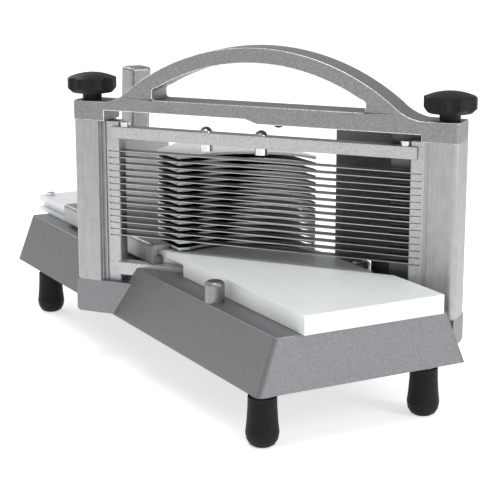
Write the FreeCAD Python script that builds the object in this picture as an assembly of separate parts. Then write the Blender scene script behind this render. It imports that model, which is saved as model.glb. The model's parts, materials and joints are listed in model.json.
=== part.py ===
import FreeCAD, Part

import math
import os

# Tomato slicer: a long cast base on four rubber-tipped legs, a blade cassette that
# stands across the base at a skew, an arched clamp over the cassette, and a finned
# pusher that slides along the base and carries the fruit through the blades.
# +Z is up, +Y runs along the base away from the outlet end, and the origin is on the
# bench under the middle of the bounding box. Millimetres.

V = FreeCAD.Vector

# ---- driving dimensions ----
SKEW = 52.65              # angle of the blade cassette from +X, clockwise seen from above
FRAME_Y = -82.1           # where the cassette's centre crosses the base's centre line
BLADE_PITCH = 4.7625      # 3/16 inch slices
BLADE_COUNT = 14
BLADE_LOW_Z = 99.3
BLADE_THICK = 0.5
FIN_COUNT = BLADE_COUNT + 1
FIN_THICK = 1.8

BASE_LOW_Z = 40.3
BASE_TOP_Z = 76.6
BASE_LOW_HALF = 78.7
BASE_TOP_HALF = 64.65
BASE_NEAR_Y = -218.0
BASE_FAR_Y = 202.0
BASE_NEAR_SLOPE = 3.0
WALL = 4.0
LEG_X = 62.0
LEG_NEAR_Y = -194.0
LEG_FAR_Y = 170.5
LEG_R = 7.4
FOOT_H = 33.0

BOARD_Z = 76.9
BOARD_T = 12.7
BOARD_TOP = BOARD_Z + BOARD_T
BOARD_END_Y = 220.0
SCREW_R = 2.4
SCREW_HEAD_R = 4.2
SCREW_HEAD_H = 3.0
SCREW_TIP_Z = 85.5
FRONT_SCREWS = [(5.0, -200.0), (-20.0, -95.0)]
REAR_SCREWS = [(10.0, -60.0), (0.0, 190.0)]
BOARD_SCREWS = FRONT_SCREWS + REAR_SCREWS
TRACK_HALF = 51.0         # half width of the rear board's guiding flanges
GROOVE_DEPTH = 4.0
FRONT_LEFT = -47.0        # left edge of the outlet board, just inside the rail's lip
UNDERCUT_W = 9.0
UNDERCUT_Y = -52.0
GROOVE_LOW = 79.8
GROOVE_HIGH = 85.4

FRAME_HALF_T = 11.8       # half thickness of the uprights, sill and arch
FRAME_HALF_U = 144.0
SILL_TOP = 64.9
SILL_LOW = 40.5
UPRIGHT_IN = 123.4
LIP_IN = 119.7
UPRIGHT_TOP = 183.2
BAR_IN = 109.5
BAR_OUT = 119.5
BAR_V0 = -6.5
BAR_V1 = 5.0
BAR_TOP = 182.6
CROSS_V0 = -8.5
CROSS_V1 = 1.0
TOP_BAR = (170.7, 179.2)
LOW_BAR = (70.4, 79.8)
TOP_BAR_HALF = 114.7
LOW_BAR_HALF = 111.5
BLADE_V0 = -5.5
BLADE_V1 = 3.5
BLADE_HALF = 117.0
SLIT_OUT = 117.6
SLIT_H = 0.95
DOME_SCREW_U = (-41.0, 1.0)
DOME_V = -3.7
DOME_R = 4.8
NUT_R = 4.7
NUT_H = 4.8
PIN_U = 114.0
PIN_V = -1.0
PIN_R = 1.5

EAR_TOP = 197.0
EAR_IN = 118.3
ARCH_CENTRE_Z = 80.0
ARCH_R_OUT = 160.0
ARCH_R_IN = 149.6
BEAM_TOP = 200.2
BEAM_LOW_LEFT = 191.0
BEAM_LOW_RIGHT = 188.0
WINDOW_HALF = 79.5
BUMPER_U = 12.4

KNOB_U = 134.0
KNOB_R = 17.7
KNOB_LOBES = 8
STUD_R = 3.9

RAIL_IN = 47.6
RAIL_WEB = 52.4
RAIL_OUT = 56.0
RAIL_LOW = 80.2
LIP_TOP = 85.1
DECK_LOW = 90.0
DECK_TOP = 94.0
RAIL_FRONT_Y = -20.0
CARRIAGE_REAR_Y = 150.0
DECK_LEFT = -42.5         # inner edge of the left rail's top strip, just outside the fins
WALL_V0 = 80.0            # front face of the fin wall, measured back from the blades
WALL_V1 = 86.0
WALL_LEFT_TOP = 143.5     # the wall is lower on its left half
FIN_LEFT = -40.7
FIN_RIGHT = 47.0
FIN_CORNER_Y = 2.0        # where the fins' left side turns towards the wall
FIN_TAPER = 40.0          # and the direction it takes there, in degrees from +X
CRADLE_X = -12.0
CRADLE_Y = -86.0
CRADLE_R = 56.0
PRONG_Y = -32.4
PRONG_IN = -32.7
TIP_X = 43.6
ROD_R = 3.0
SPACER_R = 4.8
ROD_LOW_Z = 90.4
RODS = [(12.7, 24.2), (40.3, -12.0)]
PEDESTAL_HALF = 23.0
PEDESTAL_Y = (112.0, 148.0)
PEDESTAL_TOP = 149.0
HANDLE_HALF_X = 9.2
HANDLE_D = 20.0
HANDLE_LOW_Y = 130.5      # handle centre where it leaves the pedestal, and at its top
HANDLE_TOP_Y = 125.5
HANDLE_TOP = 206.5

POST_X = 57.9
POST_Y = -121.5
POST_R = 6.7
POST_H = 14.4
GUARD_X = 61.0
GUARD_T = 2.0
GUARD_REAR_Y = -81.6
GUARD_TOP = 186.0

SIDES = (("left", -1), ("right", 1))
SIN = math.sin(math.radians(SKEW))
COS = math.cos(math.radians(SKEW))
nodes = {}


# ---- helpers ----
def box(x0, x1, y0, y1, z0, z1):
    return Part.makeBox(x1 - x0, y1 - y0, z1 - z0, V(x0, y0, z0))


def cyl(x, y, z0, z1, r):
    return Part.makeCylinder(r, z1 - z0, V(x, y, z0))


def to_frame(shape):
    """Turn a shape built with u along X and v along Y into the skewed cassette frame."""
    turned = shape.copy()
    turned.rotate(V(0, 0, 0), V(0, 0, 1), -SKEW)
    turned.translate(V(0, FRAME_Y, 0))
    return turned


def frame_y(x, v):
    """Y of the point at this X on the plane that lies v behind the blades."""
    return FRAME_Y + (v - x * SIN) / COS


def frame_xy(u, v):
    return (u * COS + v * SIN, FRAME_Y - u * SIN + v * COS)


def prism(points, z0, z1):
    wire = Part.makePolygon([V(x, y, z0) for x, y in points + points[:1]])
    return Part.Face(wire).extrude(V(0, 0, z1 - z0))


def vertical_edges(shape, test):
    found = []
    for edge in shape.Edges:
        a, b = edge.Vertexes[0].Point, edge.Vertexes[-1].Point
        if abs(a.x - b.x) < 1e-6 and abs(a.y - b.y) < 1e-6 and test(a):
            found.append(edge)
    return found


def revolve(profile, x, y):
    """Turn an (r, z) outline about the vertical through x, y."""
    wire = Part.makePolygon([V(x + r, y, z) for r, z in profile + profile[:1]])
    return Part.Face(wire).revolve(V(x, y, 0), V(0, 0, 1), 360)


# ---- base ----
def base_rect(half, y0, y1, z):
    corners = [(-half, y0), (half, y0), (half, y1), (-half, y1), (-half, y0)]
    return Part.makePolygon([V(x, y, z) for x, y in corners])


def trough(inset, top_z):
    """The sloped skirts as a closed frustum, set in by the wall thickness when hollowing."""
    low = base_rect(BASE_LOW_HALF - inset, BASE_NEAR_Y + inset, BASE_FAR_Y - inset, BASE_LOW_Z)
    top_half = BASE_TOP_HALF - inset
    top = base_rect(top_half, BASE_NEAR_Y + BASE_NEAR_SLOPE + inset, BASE_FAR_Y - inset, top_z)
    return Part.makeLoft([low, top], True, True)


def base_casting():
    outer = trough(0, BASE_TOP_Z)
    slanted = [e for e in outer.Edges if e.Vertexes[0].Z != e.Vertexes[-1].Z]
    outer = outer.makeFillet(3.0, slanted)
    rim = [e for e in outer.Edges
           if min(v.Z for v in e.Vertexes) > BASE_TOP_Z - 0.01 and e.Length > 50]
    outer = outer.makeFillet(1.2, rim)
    shell = outer.cut(trough(WALL, BASE_TOP_Z - WALL))
    sill = box(-FRAME_HALF_U, FRAME_HALF_U, -FRAME_HALF_T, FRAME_HALF_T, SILL_LOW, SILL_TOP)
    for end, radius in ((FRAME_HALF_U, 8.0), (-FRAME_HALF_U, 3.0)):
        low_corner = [e for e in sill.Edges
                      if all(abs(v.Z - SILL_LOW) < 0.01 and abs(v.X - end) < 0.01 for v in e.Vertexes)]
        sill = sill.makeFillet(radius, low_corner)
    body = shell.fuse(to_frame(sill))
    for x in (-LEG_X, LEG_X):
        for y in (LEG_NEAR_Y, LEG_FAR_Y):
            boss = cyl(x, y, BASE_LOW_Z, BASE_TOP_Z - WALL / 2, LEG_R).common(outer)
            body = body.fuse(boss).fuse(cyl(x, y, 6.0, BASE_LOW_Z, LEG_R))
    seat = box(-BAR_OUT - 0.1, BAR_OUT + 0.1, CROSS_V0 - 0.1, BAR_V1 + 0.1, SILL_TOP, BASE_TOP_Z + 2)
    body = body.cut(to_frame(seat))
    for _, s in SIDES:
        u0, u1 = sorted((s * (LIP_IN - 0.3), s * (FRAME_HALF_U + 4)))
        seat = box(u0, u1, -FRAME_HALF_T - 0.1, FRAME_HALF_T + 0.1, SILL_TOP, BASE_TOP_Z + 2)
        body = body.cut(to_frame(seat))
    for _, s in SIDES:
        x, y = frame_xy(s * KNOB_U, 0)
        body = body.cut(cyl(x, y, SILL_LOW - 1, SILL_TOP + 1, STUD_R + 0.1))
    return body.removeSplitter()


def rubber_foot(x, y):
    """Crutch-tip shaped rubber cap with a rounded sole and a socket for the leg."""
    sole, bulge, neck = 6.0, 11.0, 9.4
    profile = [(0, 0), (sole, 0), (8.4, 1.5), (10.2, 4.6), (bulge, 9.0), (10.2, 16.0),
               (neck + 0.2, 25.0), (neck, FOOT_H), (LEG_R, FOOT_H), (LEG_R, 6.0), (0, 6.0)]
    return revolve(profile, x, y)


# ---- boards ----
def front_board():
    """Outlet board: its rear edge is parallel to the blades, and its left tip is undercut for the rail."""
    left, right, near = FRONT_LEFT, 58.0, -BOARD_END_Y
    edge_v = -2.5
    body = prism([(left, near), (right, near), (right, frame_y(right, edge_v)),
                  (left, frame_y(left, edge_v))], BOARD_Z, BOARD_TOP)
    body = body.cut(box(left - 1, left + UNDERCUT_W, UNDERCUT_Y, 40, BOARD_Z - 1, GROOVE_HIGH))
    rebate = to_frame(box(-150, 150, CROSS_V0 - 0.5, 20, BOARD_Z - 1, LOW_BAR[1] + 0.3))
    return body.cut(rebate).removeSplitter()


def rear_board():
    """Slide board: the pusher's rails hook round its side flanges."""
    edge_v = 1.5
    body = prism([(-TRACK_HALF, frame_y(-TRACK_HALF, edge_v)), (TRACK_HALF, frame_y(TRACK_HALF, edge_v)),
                  (TRACK_HALF, BOARD_END_Y), (-TRACK_HALF, BOARD_END_Y)], BOARD_Z, BOARD_TOP)
    for _, s in SIDES:
        x0, x1 = sorted((s * (TRACK_HALF - GROOVE_DEPTH), s * (TRACK_HALF + 2)))
        body = body.cut(box(x0, x1, -BOARD_END_Y, BOARD_END_Y + 2, GROOVE_LOW, GROOVE_HIGH))
    return body


def board_screws():
    """Screws that come up through the base's top into the boards, and the stop screws at the far end."""
    low = BASE_TOP_Z - WALL
    screws = [cyl(x, y, low - SCREW_HEAD_H, low, SCREW_HEAD_R).fuse(cyl(x, y, low, SCREW_TIP_Z, SCREW_R))
              for x, y in BOARD_SCREWS]
    screws += [cyl(x, BOARD_END_Y - 7, BOARD_TOP, BOARD_TOP + 2.6, 3.4) for x in (-43.0, 43.0)]
    return Part.makeCompound(screws)


def drill_screws(body, spots):
    for x, y in spots:
        body = body.cut(cyl(x, y, BASE_TOP_Z - WALL - 1, SCREW_TIP_Z, SCREW_R))
    return body


# ---- blade cassette ----
def blade_z(i):
    return BLADE_LOW_Z + BLADE_PITCH * i


def side_bar(s):
    u0, u1 = sorted((s * BAR_IN, s * BAR_OUT))
    bar = box(u0, u1, BAR_V0, BAR_V1, SILL_TOP + 0.1, BAR_TOP)
    inner = vertical_edges(bar, lambda p: abs(abs(p.x) - BAR_IN) < 0.01)
    bar = bar.makeFillet(1.5, inner)
    slit_u = sorted((s * (BAR_IN - 1), s * SLIT_OUT))
    for i in range(BLADE_COUNT):
        z = blade_z(i)
        bar = bar.cut(box(slit_u[0], slit_u[1], BAR_V0 - 1, BAR_V1 + 1, z - SLIT_H / 2, z + SLIT_H / 2))
    bar = bar.cut(cyl(s * PIN_U, PIN_V, blade_z(0) - 6, BAR_TOP + 1, PIN_R))
    bar = bar.cut(cross_bar(TOP_BAR_HALF, TOP_BAR)).cut(cross_bar(LOW_BAR_HALF, LOW_BAR))
    return bar


def cross_bar(half, z_range):
    return box(-half, half, CROSS_V0, CROSS_V1, z_range[0], z_range[1])


def blade(i):
    z = blade_z(i)
    plate = box(-BLADE_HALF, BLADE_HALF, BLADE_V0, BLADE_V1, z - BLADE_THICK / 2, z + BLADE_THICK / 2)
    for _, s in SIDES:
        plate = plate.cut(cyl(s * PIN_U, PIN_V, z - 1, z + 1, PIN_R))
    return plate


def cassette_screws():
    """Socket screws at the ends of the top bar, and dome screws through it with nuts beneath."""
    top = TOP_BAR[1]
    screws = []
    for _, s in SIDES:
        head = cyl(s * 105.5, -4.0, top, top + 3.2, 3.6)
        screws.append(head.cut(cyl(s * 105.5, -4.0, top + 1.2, top + 4, 1.6)))
    for u in DOME_SCREW_U:
        dome = Part.makeSphere(DOME_R, V(u, DOME_V, top - 1.0)).common(
            cyl(u, DOME_V, top, top + DOME_R, DOME_R))
        nut = cyl(u, DOME_V, TOP_BAR[0] - NUT_H, TOP_BAR[0], NUT_R)
        screws += [dome, nut]
    return Part.makeCompound(screws)


# ---- uprights and arch ----
def upright(s):
    u0, u1 = sorted((s * UPRIGHT_IN, s * FRAME_HALF_U))
    post = box(u0, u1, -FRAME_HALF_T, FRAME_HALF_T, SILL_TOP, UPRIGHT_TOP)
    front = vertical_edges(post, lambda p: abs(abs(p.x) - FRAME_HALF_U) < 0.01 and p.y < 0)
    post = post.makeFillet(4.5, front)
    rear = vertical_edges(post, lambda p: abs(abs(p.x) - FRAME_HALF_U) < 0.01 and p.y > 0)
    post = post.makeFillet(2.5, rear)
    inner = vertical_edges(post, lambda p: abs(abs(p.x) - UPRIGHT_IN) < 0.01 and p.y < 0)
    post = post.makeFillet(0.8, inner)
    l0, l1 = sorted((s * LIP_IN, s * (UPRIGHT_IN + 1)))
    lip = box(l0, l1, -9.6, 9.6, SILL_TOP, UPRIGHT_TOP - 0.6)
    g0, g1 = sorted((s * (LIP_IN - 1), s * (UPRIGHT_IN - 1.2)))
    lip = lip.cut(box(g0, g1, -11, -7.6, SILL_TOP - 1, UPRIGHT_TOP))
    post = post.fuse(lip)
    return post.cut(cyl(s * KNOB_U, 0, SILL_TOP - 1, UPRIGHT_TOP + 1, STUD_R + 0.1)).removeSplitter()


def arch():
    """Arched clamp: two ears over the uprights, a straight beam and a round handle band."""
    shoulder_u, blend_u = 117.0, 98.0
    arch_z = lambda u, r: ARCH_CENTRE_Z + math.sqrt(r * r - u * u)
    blend_z = arch_z(blend_u, ARCH_R_OUT)
    p = lambda u, z: V(u, -FRAME_HALF_T, z)
    edges = []

    def line(a, b):
        edges.append(Part.LineSegment(a, b).toShape())

    def arc(a, m, b):
        edges.append(Part.Arc(a, m, b).toShape())

    mid_z = (blend_z + EAR_TOP) / 2 - 1.6
    mid_u = (shoulder_u + blend_u) / 2 - 0.6
    right_low, left_low = BEAM_LOW_RIGHT, BEAM_LOW_LEFT
    line(p(-FRAME_HALF_U, UPRIGHT_TOP), p(-FRAME_HALF_U, EAR_TOP))
    line(p(-FRAME_HALF_U, EAR_TOP), p(-shoulder_u, EAR_TOP))
    arc(p(-shoulder_u, EAR_TOP), p(-mid_u, mid_z), p(-blend_u, blend_z))
    arc(p(-blend_u, blend_z), p(0, ARCH_CENTRE_Z + ARCH_R_OUT), p(blend_u, blend_z))
    arc(p(blend_u, blend_z), p(mid_u, mid_z), p(shoulder_u, EAR_TOP))
    line(p(shoulder_u, EAR_TOP), p(FRAME_HALF_U, EAR_TOP))
    line(p(FRAME_HALF_U, EAR_TOP), p(FRAME_HALF_U, UPRIGHT_TOP))
    line(p(FRAME_HALF_U, UPRIGHT_TOP), p(EAR_IN, UPRIGHT_TOP))
    line(p(EAR_IN, UPRIGHT_TOP), p(EAR_IN, right_low))
    line(p(EAR_IN, right_low), p(1.0, right_low))
    line(p(1.0, right_low), p(-8.0, left_low))
    line(p(-8.0, left_low), p(-EAR_IN, left_low))
    line(p(-EAR_IN, left_low), p(-EAR_IN, UPRIGHT_TOP))
    line(p(-EAR_IN, UPRIGHT_TOP), p(-FRAME_HALF_U, UPRIGHT_TOP))
    solid = Part.Face(Part.Wire(edges)).extrude(V(0, 2 * FRAME_HALF_T, 0))

    # hand window between the beam and the band, with rounded ends
    q = lambda u, z: V(u, -FRAME_HALF_T - 1, z)
    end_z = arch_z(WINDOW_HALF - 3.5, ARCH_R_IN)
    window = [Part.LineSegment(q(-WINDOW_HALF + 2.5, BEAM_TOP), q(WINDOW_HALF - 2.5, BEAM_TOP)).toShape(),
              Part.Arc(q(WINDOW_HALF - 2.5, BEAM_TOP), q(WINDOW_HALF - 0.7, BEAM_TOP + 0.7),
                       q(WINDOW_HALF, BEAM_TOP + 2.5)).toShape(),
              Part.LineSegment(q(WINDOW_HALF, BEAM_TOP + 2.5), q(WINDOW_HALF, end_z - 3.0)).toShape(),
              Part.Arc(q(WINDOW_HALF, end_z - 3.0), q(WINDOW_HALF - 1.0, end_z - 0.9),
                       q(WINDOW_HALF - 3.5, end_z)).toShape(),
              Part.Arc(q(WINDOW_HALF - 3.5, end_z), q(0, ARCH_CENTRE_Z + ARCH_R_IN),
                       q(-WINDOW_HALF + 3.5, end_z)).toShape(),
              Part.Arc(q(-WINDOW_HALF + 3.5, end_z), q(-WINDOW_HALF + 1.0, end_z - 0.9),
                       q(-WINDOW_HALF, end_z - 3.0)).toShape(),
              Part.LineSegment(q(-WINDOW_HALF, end_z - 3.0), q(-WINDOW_HALF, BEAM_TOP + 2.5)).toShape(),
              Part.Arc(q(-WINDOW_HALF, BEAM_TOP + 2.5), q(-WINDOW_HALF + 0.7, BEAM_TOP + 0.7),
                       q(-WINDOW_HALF + 2.5, BEAM_TOP)).toShape()]
    solid = solid.cut(Part.Face(Part.Wire(window)).extrude(V(0, 2 * FRAME_HALF_T + 2, 0)))
    rounded = vertical_edges(solid, lambda a: abs(abs(a.x) - FRAME_HALF_U) < 0.01)
    solid = solid.makeFillet(3.0, rounded)
    for _, s in SIDES:
        solid = solid.cut(cyl(s * KNOB_U, 0, UPRIGHT_TOP - 1, EAR_TOP + 1, STUD_R + 0.4))
    return solid


def knob(s):
    """Lobed clamping knob with a short neck, hollowed for its stud."""
    u = s * KNOB_U
    head_low, head_top = 202.3, 216.5
    head = cyl(u, 0, head_low, head_top, KNOB_R)
    step = 2 * math.pi / KNOB_LOBES
    for i in range(KNOB_LOBES):
        a = step * (i + 0.5)
        reach = KNOB_R + 5.6
        head = head.cut(cyl(u + reach * math.cos(a), reach * math.sin(a), head_low - 1, head_top + 1, 7.6))
    dome_r = 42.0
    dome = Part.makeSphere(dome_r, V(u, 0, head_top - dome_r))
    under = Part.makeCone(KNOB_R - 3.0, KNOB_R + 6.0, 9.0, V(u, 0, head_low))
    cap = cyl(u, 0, head_low + 9.0, head_top + 1, KNOB_R + 6.0)
    head = head.common(dome).common(under.fuse(cap))
    neck = cyl(u, 0, EAR_TOP + 0.3, head_low + 1, 7.0)
    return head.fuse(neck).cut(cyl(u, 0, EAR_TOP, head_low + 8.0, STUD_R)).removeSplitter()


# ---- pusher ----
def fin_z(j):
    return BLADE_LOW_Z + BLADE_PITCH * (j - 1.5)


def taper_meets_wall():
    """Where the fins' tapered left side reaches the wall."""
    slope = math.tan(math.radians(FIN_TAPER))
    x = (frame_y(0, WALL_V0) - FIN_CORNER_Y + slope * FIN_LEFT) / (slope + SIN / COS)
    return x, frame_y(x, WALL_V0)


def wall_u(x):
    """Position along the cassette direction of the wall's front face at this X."""
    return (x - WALL_V0 * SIN) / COS


def fin_wall():
    """Wall parallel to the blades that backs the fins, with its left half lower."""
    top = fin_z(FIN_COUNT - 1) + FIN_THICK / 2
    outline = [(wall_u(FIN_LEFT), DECK_LOW), (wall_u(FIN_RIGHT), DECK_LOW), (wall_u(FIN_RIGHT), top),
               (wall_u(10.0), top), (wall_u(-15.0), WALL_LEFT_TOP), (wall_u(FIN_LEFT), WALL_LEFT_TOP)]
    wire = Part.makePolygon([V(u, WALL_V0, z) for u, z in outline + outline[:1]])
    return to_frame(Part.Face(wire).extrude(V(0, WALL_V1 - WALL_V0, 0)))


def carriage():
    """Pusher casting: hooked rails, a deck, the skewed fin wall and the handle's pedestal."""
    meet_x, meet_y = taper_meets_wall()
    gap = 1.5
    right = RAIL_IN + 2
    in_wall = WALL_V0 + 1
    outline = [(DECK_LEFT, FIN_CORNER_Y + gap), (meet_x, meet_y + gap), (meet_x, frame_y(meet_x, in_wall)),
               (right, frame_y(right, in_wall)), (right, CARRIAGE_REAR_Y), (-right, CARRIAGE_REAR_Y),
               (-right, FIN_CORNER_Y + gap)]
    body = prism(outline, DECK_LOW, DECK_TOP)
    body = body.fuse(box(-right, DECK_LEFT, RAIL_FRONT_Y, FIN_CORNER_Y + gap + 1, DECK_LOW, DECK_TOP))
    for _, s in SIDES:
        def rail(a, b, z0, z1):
            x0, x1 = sorted((s * a, s * b))
            return box(x0, x1, RAIL_FRONT_Y, CARRIAGE_REAR_Y, z0, z1)
        web = rail(RAIL_WEB, RAIL_OUT, RAIL_LOW, DECK_TOP)
        lip = rail(RAIL_IN, RAIL_WEB, RAIL_LOW, LIP_TOP)
        top = rail(RAIL_IN + 0.1, RAIL_WEB, DECK_LOW, DECK_TOP)
        body = body.fuse(web.fuse(lip).fuse(top))
    pedestal = box(-PEDESTAL_HALF, PEDESTAL_HALF, PEDESTAL_Y[0], PEDESTAL_Y[1], DECK_LOW, PEDESTAL_TOP)
    pedestal = pedestal.makeFillet(4.0, vertical_edges(pedestal, lambda p: True))
    body = body.fuse(fin_wall()).fuse(pedestal).removeSplitter()
    outer = [e for e in body.Edges if abs(e.BoundBox.XMin) > RAIL_OUT - 0.01 and e.BoundBox.XLength < 0.01
             and e.BoundBox.ZMin > DECK_TOP - 0.01 and e.BoundBox.YLength > 100]
    return body.makeFillet(2.5, outer)


def fin(j):
    """One pusher plate: straight left side, a round cradle in front, its rear edge on the wall."""
    z = fin_z(j) - FIN_THICK / 2
    meet_x, meet_y = taper_meets_wall()
    arc_y = lambda x: CRADLE_Y + math.sqrt(CRADLE_R ** 2 - (x - CRADLE_X) ** 2)
    start = V(PRONG_IN, arc_y(PRONG_IN), z)
    tip = V(TIP_X, arc_y(TIP_X), z)
    corner = V(FIN_RIGHT, tip.y + 3.4, z)
    edges = [Part.LineSegment(V(FIN_LEFT, PRONG_Y, z), start).toShape(),
             Part.Arc(start, V(CRADLE_X, CRADLE_Y + CRADLE_R, z), tip).toShape(),
             Part.Arc(tip, V(TIP_X + 2.4, tip.y + 0.6, z), corner).toShape()]
    rest = [corner, V(FIN_RIGHT, frame_y(FIN_RIGHT, WALL_V0), z), V(meet_x, meet_y, z),
            V(FIN_LEFT, FIN_CORNER_Y, z), V(FIN_LEFT, PRONG_Y, z)]
    edges += [Part.LineSegment(a, b).toShape() for a, b in zip(rest, rest[1:])]
    plate = Part.Face(Part.Wire(edges)).extrude(V(0, 0, FIN_THICK))
    for x, y in RODS:
        plate = plate.cut(cyl(x, y, z - 1, z + FIN_THICK + 1, ROD_R))
    return plate


def rods():
    top = fin_z(FIN_COUNT - 1) + FIN_THICK / 2 + 4.0
    return Part.makeCompound([cyl(x, y, ROD_LOW_Z, top, ROD_R) for x, y in RODS])


def spacers():
    rings = []
    for x, y in RODS:
        for j in range(FIN_COUNT - 1):
            low, high = fin_z(j) + FIN_THICK / 2, fin_z(j + 1) - FIN_THICK / 2
            rings.append(cyl(x, y, low, high, SPACER_R).cut(cyl(x, y, low - 1, high + 1, ROD_R)))
    return Part.makeCompound(rings)


def rod_nuts():
    """Dome nuts on the clamping rods."""
    nuts = []
    low = fin_z(FIN_COUNT - 1) + FIN_THICK / 2
    for x, y in RODS:
        dome = Part.makeSphere(5.2, V(x, y, low + 3.4)).common(cyl(x, y, low + 3.4, low + 9, 5.2))
        hexagon = [(x + 5.6 * math.cos(math.radians(60 * k)), y + 5.6 * math.sin(math.radians(60 * k)))
                   for k in range(6)]
        nut = prism(hexagon, low, low + 4.0).fuse(dome)
        nuts.append(nut.cut(cyl(x, y, low - 1, low + 4.0, ROD_R)))
    return Part.makeCompound(nuts)


def handle():
    """Rounded bar that leans forward out of the pedestal."""
    def section(y, z):
        x0, y0, y1 = HANDLE_HALF_X, y - HANDLE_D / 2, y + HANDLE_D / 2
        return Part.makePolygon([V(-x0, y0, z), V(x0, y0, z), V(x0, y1, z), V(-x0, y1, z), V(-x0, y0, z)])
    bar = Part.makeLoft([section(HANDLE_LOW_Y, PEDESTAL_TOP), section(HANDLE_TOP_Y, HANDLE_TOP)], True, True)
    long_edges = [e for e in bar.Edges if e.BoundBox.ZLength > 10]
    bar = bar.makeFillet(3.6, long_edges)
    top = [e for e in bar.Edges if e.BoundBox.ZMin > HANDLE_TOP - 0.01]
    return bar.makeFillet(2.6, top)


def side_guard():
    """Bent sheet guard on the right: one leg along the base, one against the side bar."""
    v0 = BAR_V1 + 0.5
    v1 = v0 + GUARD_T
    front_y = frame_y(GUARD_X + GUARD_T, v0)
    low = BASE_TOP_Z
    leg = box(GUARD_X, GUARD_X + GUARD_T, front_y, GUARD_REAR_Y, low, GUARD_TOP)
    u_bend = (GUARD_X + GUARD_T / 2 - v1 * SIN) / COS
    tab = to_frame(box(u_bend, EAR_IN - 0.3, v0, v1, low + 3, GUARD_TOP))
    leg = leg.cut(to_frame(box(60, 200, -60, v0, low - 1, GUARD_TOP + 1)))
    notch = POST_R + 0.8
    leg = leg.cut(box(GUARD_X - 1, GUARD_X + GUARD_T + 1, POST_Y - notch, POST_Y + notch,
                      low - 1, low + POST_H + 1))
    return leg.fuse(tab).removeSplitter()


def guard_screws():
    screws = []
    for z in (100.0, 130.0, 160.0):
        head = Part.makeCylinder(3.0, 1.8, V(114.5, BAR_V1 + 0.5 + GUARD_T, z), V(0, 1, 0))
        screws.append(to_frame(head))
    return Part.makeCompound(screws)


def stop_posts():
    """Round posts on the base that the pusher's rails run up against."""
    posts = []
    for _, s in SIDES:
        body = cyl(s * POST_X, POST_Y, BASE_TOP_Z, BASE_TOP_Z + POST_H, POST_R)
        top = [e for e in body.Edges if min(v.Z for v in e.Vertexes) > BASE_TOP_Z + POST_H - 0.01]
        posts.append(body.makeFillet(2.8, top))
    return Part.makeCompound(posts)


# ---- assembly ----
nodes["base_casting"] = drill_screws(base_casting(), BOARD_SCREWS)
nodes["front_board"] = drill_screws(front_board(), FRONT_SCREWS)
nodes["rear_board"] = drill_screws(rear_board(), REAR_SCREWS)
nodes["board_screws"] = board_screws()
nodes["stop_posts"] = stop_posts()

for side, s in SIDES:
    for end, y in (("front", LEG_NEAR_Y), ("rear", LEG_FAR_Y)):
        nodes["rubber_foot_%s_%s" % (end, side)] = rubber_foot(s * LEG_X, y)
    nodes["upright_" + side] = to_frame(upright(s))
    nodes["cassette_side_bar_" + side] = to_frame(side_bar(s))
    nodes["knob_" + side] = to_frame(knob(s))
    nodes["knob_stud_" + side] = to_frame(cyl(s * KNOB_U, 0, SILL_LOW + 4, 210.0, STUD_R))

nodes["cassette_top_bar"] = to_frame(cross_bar(TOP_BAR_HALF, TOP_BAR))
nodes["cassette_bottom_bar"] = to_frame(cross_bar(LOW_BAR_HALF, LOW_BAR))
nodes["cassette_screws"] = to_frame(cassette_screws())
pin_low, pin_top = blade_z(0) - 6, TOP_BAR[0] - 2
nodes["blade_pins"] = to_frame(Part.makeCompound([cyl(s * PIN_U, PIN_V, pin_low, pin_top, PIN_R)
                                                  for _, s in SIDES]))
for i in range(BLADE_COUNT):
    nodes["blade_%02d" % (i + 1)] = to_frame(blade(i))
nodes["arch_handle"] = to_frame(arch())
bumper = Part.makeSphere(4.6, V(BUMPER_U, 0, BEAM_LOW_RIGHT + 1.4))
nodes["arch_bumper"] = to_frame(bumper.common(cyl(BUMPER_U, 0, BEAM_LOW_RIGHT - 5, BEAM_LOW_RIGHT, 6)))
nodes["side_guard"] = side_guard()
nodes["guard_screws"] = guard_screws()

nodes["pusher_carriage"] = carriage()
nodes["pusher_handle"] = handle()
nodes["fin_rods"] = rods()
nodes["fin_spacers"] = spacers()
nodes["fin_rod_nuts"] = rod_nuts()
for j in range(FIN_COUNT):
    nodes["fin_%02d" % (j + 1)] = fin(j)

os.makedirs("parts", exist_ok=True)
for old in os.listdir("parts"):
    if old.endswith(".step") and old[:-5] not in nodes:
        os.remove(os.path.join("parts", old))
total = None
for name, shape in nodes.items():
    if not shape.isValid():
        print("invalid shape:", name)
    print(name, len(shape.Solids), round(shape.Volume / 1000, 2))
    shape.exportStep("parts/%s.step" % name)
    total = shape.BoundBox if total is None else total.united(shape.BoundBox)
print(len(nodes), "nodes", total)
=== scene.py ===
import json
import math

import bpy
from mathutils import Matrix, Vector

# Looks for the tomato slicer: a material and softened edges for every CAD node, a pale
# studio and the camera. Metres, in the part's own frame.

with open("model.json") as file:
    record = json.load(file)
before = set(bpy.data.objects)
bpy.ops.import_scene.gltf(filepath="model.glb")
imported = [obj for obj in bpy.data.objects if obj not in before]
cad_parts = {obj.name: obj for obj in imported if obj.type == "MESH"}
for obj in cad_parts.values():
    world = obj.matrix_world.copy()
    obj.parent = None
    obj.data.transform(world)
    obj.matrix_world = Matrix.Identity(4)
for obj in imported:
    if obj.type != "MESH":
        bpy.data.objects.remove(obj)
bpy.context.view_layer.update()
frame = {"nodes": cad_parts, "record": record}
nodes = frame["nodes"]

SKEW = math.radians(52.65)      # the cassette's angle from +X


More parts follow.
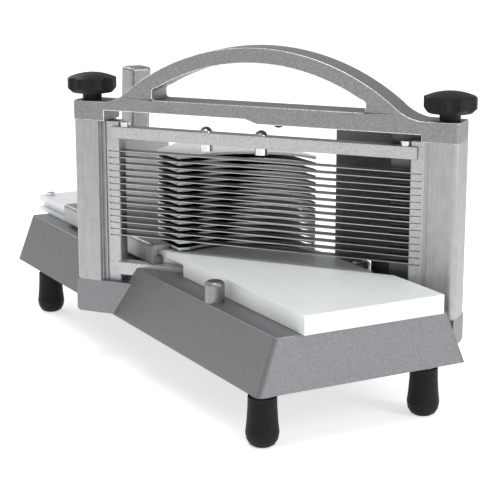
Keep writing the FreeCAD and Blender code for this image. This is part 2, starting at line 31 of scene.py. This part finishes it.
# ---- materials ----
class Maker:
    """Builds one node material step by step."""

    def __init__(self, name, colour, roughness, metallic):
        self.material = bpy.data.materials.new(name)
        self.material.use_nodes = True
        self.tree = self.material.node_tree
        self.shader = self.tree.nodes["Principled BSDF"]
        self.shader.inputs["Base Color"].default_value = (*colour, 1.0)
        self.shader.inputs["Roughness"].default_value = roughness
        self.shader.inputs["Metallic"].default_value = metallic
        self.colour = colour
        self.height = None
        place = self.add("ShaderNodeTexCoord")
        self.place = place.outputs["Object"]

    def add(self, kind, **settings):
        node = self.tree.nodes.new(kind)
        for key, value in settings.items():
            setattr(node, key, value)
        return node

    def link(self, a, b):
        self.tree.links.new(a, b)

    def noise(self, scale, detail=3.0, stretch=(1, 1, 1), turn=0.0, rough=0.55):
        mapping = self.add("ShaderNodeMapping")
        mapping.inputs["Scale"].default_value = stretch
        spin = self.add("ShaderNodeMapping")
        spin.inputs["Rotation"].default_value = (0, 0, turn)
        self.link(self.place, spin.inputs["Vector"])
        self.link(spin.outputs["Vector"], mapping.inputs["Vector"])
        noise = self.add("ShaderNodeTexNoise")
        noise.inputs["Scale"].default_value = scale
        noise.inputs["Detail"].default_value = detail
        noise.inputs["Roughness"].default_value = rough
        self.link(mapping.outputs["Vector"], noise.inputs["Vector"])
        return noise.outputs["Fac"]

    def ramp(self, value, low, high, start=0.35, end=0.65):
        ramp = self.add("ShaderNodeMapRange")
        ramp.inputs["From Min"].default_value = start
        ramp.inputs["From Max"].default_value = end
        ramp.inputs["To Min"].default_value = low
        ramp.inputs["To Max"].default_value = high
        self.link(value, ramp.inputs["Value"])
        return ramp.outputs["Result"]

    def times(self, a, b):
        node = self.add("ShaderNodeMath", operation="MULTIPLY")
        self.link(a, node.inputs[0])
        self.link(b, node.inputs[1])
        return node.outputs["Value"]

    def brightness(self, factor):
        """Colour varies over the surface by this factor."""
        mix = self.add("ShaderNodeVectorMath", operation="SCALE")
        mix.inputs[0].default_value = self.colour
        self.link(factor, mix.inputs["Scale"])
        self.link(mix.outputs["Vector"], self.shader.inputs["Base Color"])

    def roughness(self, value):
        self.link(value, self.shader.inputs["Roughness"])

    def bump(self, height, distance, strength=1.0):
        bump = self.add("ShaderNodeBump")
        bump.inputs["Distance"].default_value = distance
        bump.inputs["Strength"].default_value = strength
        self.link(height, bump.inputs["Height"])
        if self.height is not None:
            self.link(self.height, bump.inputs["Normal"])
        self.height = bump.outputs["Normal"]
        self.link(self.height, self.shader.inputs["Normal"])


def cast_metal(name, colour, roughness, speckle, grain):
    """Sand-cast and tumbled aluminium: fine bright and dark specks over a soft mottle."""
    m = Maker(name, colour, roughness, 0.85)
    fine = m.noise(1150, 3.0, rough=0.75)
    mottle = m.noise(420, 3.0)
    m.brightness(m.times(m.ramp(fine, 1 - speckle, 1 + speckle), m.ramp(mottle, 0.95, 1.05)))
    m.roughness(m.ramp(fine, roughness - 0.08, roughness + 0.12))
    m.bump(fine, 0.00016 * grain, 0.8)
    m.bump(mottle, 0.00010 * grain, 0.5)
    return m.material


def drawn_metal(name, colour, roughness, streak, stretch, turn=0.0, metallic=0.95):
    """Extruded, milled or ground metal with fine lines along its length."""
    m = Maker(name, colour, roughness, metallic)
    lines = m.noise(900, 3.0, stretch=stretch, turn=turn, rough=0.6)
    mottle = m.noise(160, 3.0)
    m.brightness(m.times(m.ramp(lines, 1 - streak, 1 + streak), m.ramp(mottle, 0.95, 1.05)))
    m.roughness(m.ramp(lines, roughness - 0.06, roughness + 0.10))
    m.bump(lines, 0.00006, 0.7)
    return m.material


def board_plastic():
    """Milky polyethylene with faint knife marks."""
    m = Maker("white_polyethylene", (0.77, 0.795, 0.80), 0.36, 0.0)
    m.shader.inputs["Subsurface Weight"].default_value = 0.15
    m.shader.inputs["Subsurface Radius"].default_value = (0.004, 0.004, 0.004)
    m.shader.inputs["Subsurface Scale"].default_value = 0.5
    marks = m.noise(260, 3.0, stretch=(1.0, 0.06, 1.0))
    cloud = m.noise(30, 2.0)
    m.brightness(m.ramp(cloud, 0.985, 1.01))
    m.roughness(m.ramp(marks, 0.30, 0.46))
    m.bump(marks, 0.00005, 0.5)
    return m.material


def black_soft(name, colour, roughness, grain):
    m = Maker(name, colour, roughness, 0.0)
    m.shader.inputs["Specular IOR Level"].default_value = 0.22
    fine = m.noise(1400, 3.0)
    cloud = m.noise(90, 2.0)
    m.brightness(m.ramp(cloud, 0.8, 1.25))
    m.roughness(m.ramp(fine, roughness - 0.06, roughness + 0.1))
    m.bump(fine, grain, 0.6)
    return m.material


def painted_shade_face(name, grey, roughness):
    """Painted shade for the flat sides of stacked plates, which mostly see each other and stay dark: a
    dark copy of the plate's metal.
    """
    m = Maker(name, (grey, grey, grey * 1.03), roughness, 0.6)
    m.shader.inputs["Specular IOR Level"].default_value = 0.3
    lines = m.noise(900, 3.0, stretch=ALONG_U, turn=SKEW)
    m.brightness(m.ramp(lines, 0.8, 1.25))
    m.roughness(m.ramp(lines, roughness - 0.08, roughness + 0.1))
    return m.material


def painted_highlight_edge(name, grey):
    """Painted highlight along a casting's bevelled edges: a lighter, patchy copy of its metal."""
    m = Maker(name, (grey, grey, grey * 1.01), 0.3, 0.7)
    highlight_patches = m.noise(500, 3.0)
    m.brightness(m.ramp(highlight_patches, 0.75, 1.1))
    m.roughness(m.ramp(highlight_patches, 0.24, 0.42))
    return m.material


# how noise is stretched into fine lines up a piece, or along the cassette once turned by SKEW
ALONG_Z = (1.0, 1.0, 0.04)
ALONG_U = (0.04, 1.0, 1.0)
MATERIALS = {
    "cast_base": cast_metal("cast_base", (0.225, 0.23, 0.237), 0.44, 0.19, 1.0),
    "cast_arch": cast_metal("cast_arch", (0.27, 0.273, 0.277), 0.42, 0.32, 1.0),
    "cast_pusher": cast_metal("cast_pusher", (0.34, 0.344, 0.348), 0.40, 0.14, 0.8),
    "extruded_aluminium": drawn_metal("extruded_aluminium", (0.38, 0.385, 0.39), 0.42, 0.12, ALONG_Z),
    "milled_aluminium": cast_metal("milled_aluminium", (0.48, 0.485, 0.49), 0.42, 0.24, 0.6),
    "blade_steel": drawn_metal("blade_steel", (0.40, 0.405, 0.41), 0.20, 0.06, ALONG_U, SKEW, 1.0),
    "fin_aluminium": drawn_metal("fin_aluminium", (0.80, 0.805, 0.81), 0.45, 0.06, ALONG_U, SKEW, 0.45),
    "polished_aluminium": cast_metal("handle_metal", (0.30, 0.304, 0.308), 0.32, 0.16, 0.8),
    "guard_steel": drawn_metal("guard_steel", (0.13, 0.13, 0.132), 0.40, 0.06, ALONG_Z, 0.0, 1.0),
    "bright_steel": drawn_metal("bright_steel", (0.62, 0.63, 0.65), 0.14, 0.04, ALONG_Z, 0.0, 1.0),
    "black_rubber": black_soft("black_rubber", (0.005, 0.005, 0.0055), 0.55, 0.00008),
    "black_plastic": black_soft("black_plastic", (0.007, 0.007, 0.008), 0.46, 0.00010),
    "white_board": board_plastic(),
}

# a slot's second material: painted shade on the level faces of stacked plates, or a painted highlight
# on a casting's bevelled edges
PAINTED_SHADE_FACES = {"fin_aluminium": painted_shade_face("fin_painted_shade", 0.035, 0.5),
         "blade_steel": painted_shade_face("blade_painted_shade", 0.10, 0.30)}
EDGE_HIGHLIGHT = {"cast_base": painted_highlight_edge("base_painted_highlight", 0.62), "cast_arch": painted_highlight_edge("arch_painted_highlight", 0.85)}
POST_METAL = cast_metal("post_metal", (0.26, 0.264, 0.268), 0.34, 0.22, 1.0)
TOP_FIN = max(name for name in nodes if name.startswith("fin_") and name[4:].isdigit())
FLAT_NODES = ("blade_", "fin_0", "fin_1")
SHARP_NODES = ("blade", "fin", "upright")

SLOTS = {row["node"]: row["material_slot"] for row in frame["record"]["subparts"]}

DEFAULT_BEVEL = 0.0003
BEVELS = {"base_casting": 0.0007, "arch_handle": 0.0004, "front_board": 0.0008, "rear_board": 0.0008,
          "pusher_carriage": 0.0007, "cassette_top_bar": 0.0004, "cassette_bottom_bar": 0.0004}
BEVEL_ANGLE = math.radians(40)
SMOOTH_ANGLE = math.radians(32)
WELD_DISTANCE = 0.000002


def finish_node(name, obj):
    """Gives a CAD node its materials, its shading and softened edges."""
    obj.data.materials.clear()
    slot = SLOTS[name]
    obj.data.materials.append(POST_METAL if name == "stop_posts" else MATERIALS[slot])
    # castings get a second, lighter copy of their metal as a painted highlight for their bevelled edges
    if slot in EDGE_HIGHLIGHT:
        obj.data.materials.append(EDGE_HIGHLIGHT[slot])
    # painted shade: level faces of fins and blades take the dark copy, all but the top fin's lit top
    if slot in PAINTED_SHADE_FACES:
        obj.data.materials.append(PAINTED_SHADE_FACES[slot])
        for polygon in obj.data.polygons:
            level = abs(polygon.normal.z) > 0.5
            on_top = name == TOP_FIN and polygon.normal.z > 0.5
            polygon.material_index = 1 if level and not on_top else 0
    bpy.context.view_layer.objects.active = obj
    obj.select_set(True)
    if obj.data.has_custom_normals:
        bpy.ops.mesh.customdata_custom_splitnormals_clear()
    weld = obj.modifiers.new("weld", "WELD")
    weld.merge_threshold = WELD_DISTANCE
    if not name.startswith(SHARP_NODES):
        bevel = obj.modifiers.new("edge", "BEVEL")
        bevel.width = BEVELS.get(name, DEFAULT_BEVEL)
        bevel.segments = 2
        bevel.limit_method = "ANGLE"
        bevel.angle_limit = BEVEL_ANGLE
        bevel.harden_normals = True
        # on castings the bevel's faces take the painted highlight copy
        bevel.material = 1 if slot in EDGE_HIGHLIGHT else -1
        # clamped, the arch's bevel would shrink to nothing beside its thin triangles
        bevel.use_clamp_overlap = name != "arch_handle"
    if name.startswith(FLAT_NODES):
        bpy.ops.object.shade_flat()
    else:
        bpy.ops.object.shade_auto_smooth(angle=SMOOTH_ANGLE)
    obj.select_set(False)


for node_name, node in nodes.items():
    finish_node(node_name, node)


# ---- stage, light and camera ----
FLOOR_SIZE = 14
FLOOR_GLOW = 0.60
SKY_STRENGTH = 0.48
WHITE = (1.0, 1.0, 1.0, 1.0)
SENSOR_WIDTH = 36.0
LENS = 107.5
CAMERA_PLACE = (-0.5000, -0.9758, 0.3385)
CAMERA_DOWN = math.radians(13.26)
CAMERA_TURN = math.radians(28.76)


def area_light(name, place, size, power, aim=(0, 0, 0.1)):
    data = bpy.data.lights.new(name, "AREA")
    data.shape = "RECTANGLE"
    data.size, data.size_y = size
    data.energy = power
    light = bpy.data.objects.new(name, data)
    light.location = place
    light.rotation_euler = (Vector(aim) - Vector(place)).to_track_quat("-Z", "Y").to_euler()
    bpy.context.scene.collection.objects.link(light)


def studio():
    bpy.ops.mesh.primitive_plane_add(size=FLOOR_SIZE, location=(0, 0, 0))
    floor = bpy.context.object
    floor.name = "floor"
    m = Maker("floor", (0.86, 0.86, 0.86), 0.9, 0.0)
    m.shader.inputs["Specular IOR Level"].default_value = 0.0
    m.shader.inputs["Emission Color"].default_value = WHITE
    m.shader.inputs["Emission Strength"].default_value = FLOOR_GLOW
    m.brightness(m.ramp(m.noise(3, 2.0), 0.995, 1.005))
    floor.data.materials.append(m.material)
    world = bpy.data.worlds.new("studio")
    world.use_nodes = True
    background = world.node_tree.nodes["Background"]
    background.inputs["Color"].default_value = WHITE
    background.inputs["Strength"].default_value = SKY_STRENGTH
    bpy.context.scene.world = world
    bpy.context.scene.view_settings.view_transform = "Standard"
    area_light("key", (-0.3, -0.5, 1.6), (0.9, 0.9), 13)
    area_light("front", (0.7, -1.5, 0.8), (0.5, 0.9), 10)
    area_light("back", (-0.4, 1.5, 1.2), (1.2, 0.6), 9)


def camera():
    data = bpy.data.cameras.new("camera")
    data.sensor_width = SENSOR_WIDTH
    data.lens = LENS
    data.clip_start, data.clip_end = 0.05, 50
    cam = bpy.data.objects.new("camera", data)
    cam.location = CAMERA_PLACE
    cam.rotation_euler = (math.radians(90) - CAMERA_DOWN, 0.0, -CAMERA_TURN)
    bpy.context.scene.collection.objects.link(cam)
    bpy.context.scene.camera = cam


studio()
camera()
